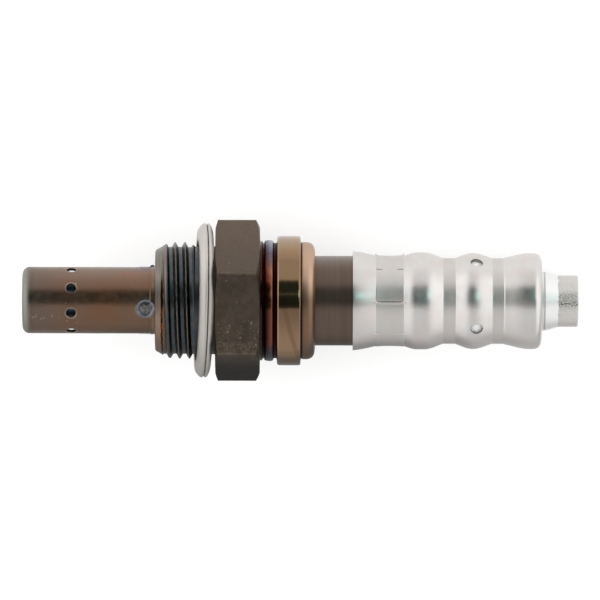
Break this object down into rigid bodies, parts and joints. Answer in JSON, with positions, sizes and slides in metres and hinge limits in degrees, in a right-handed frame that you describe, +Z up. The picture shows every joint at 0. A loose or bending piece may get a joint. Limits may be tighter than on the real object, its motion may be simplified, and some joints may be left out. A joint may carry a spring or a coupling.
{
  "type": "oxygen sensor",
  "caption": "Heated exhaust oxygen sensor with M18 thread, 22 mm hexagon, folded sealing gasket, vented protector tube, crimped ribbed steel cover and crimped cable ferrule.",
  "frame": {"origin": "middle of the hexagon's underside, which clamps the sealing gasket", "axes": "+X along the thread axis towards the cable end, +Z up with the sensor lying on its side, one hexagon flat facing down"},
  "size_m": [0.0855, 0.0254, 0.0241],
  "materials": {
    "protector_steel": "heat tinted, bronze brown",
    "housing_steel": "heat browned",
    "gasket_steel": "satin",
    "casing_steel": "drawn, dark",
    "cover_steel": "bright satin",
    "ferrule_steel": "bright, rough where crimped",
    "inner_steel": "plain",
    "zirconia": "matte",
    "alumina": "matte",
    "talc": "pressed powder",
    "contact_metal": "nickel plated",
    "white_filter": "porous",
    "black_rubber": "matte"
  },
  "bodies": {
    "root": {"housing": "housing_steel", "sealing_gasket": "gasket_steel", "outer_protector": "protector_steel", "inner_protector": "inner_steel", "seat_washer": "inner_steel", "sensing_element": "zirconia", "heater_rod": "alumina", "talc_seal": "talc", "ceramic_sleeve": "alumina", "crimp_ring": "inner_steel", "inner_casing": "casing_steel", "outer_cover": "cover_steel", "vent_filter": "white_filter", "terminal_insulator": "alumina", "insulator_spring": "inner_steel", "signal_terminal_inner": "contact_metal", "heater_terminal_a": "contact_metal", "signal_terminal_outer": "contact_metal", "heater_terminal_b": "contact_metal", "lead_grommet": "black_rubber", "cable_ferrule": "ferrule_steel"}
  },
  "joints": []
}
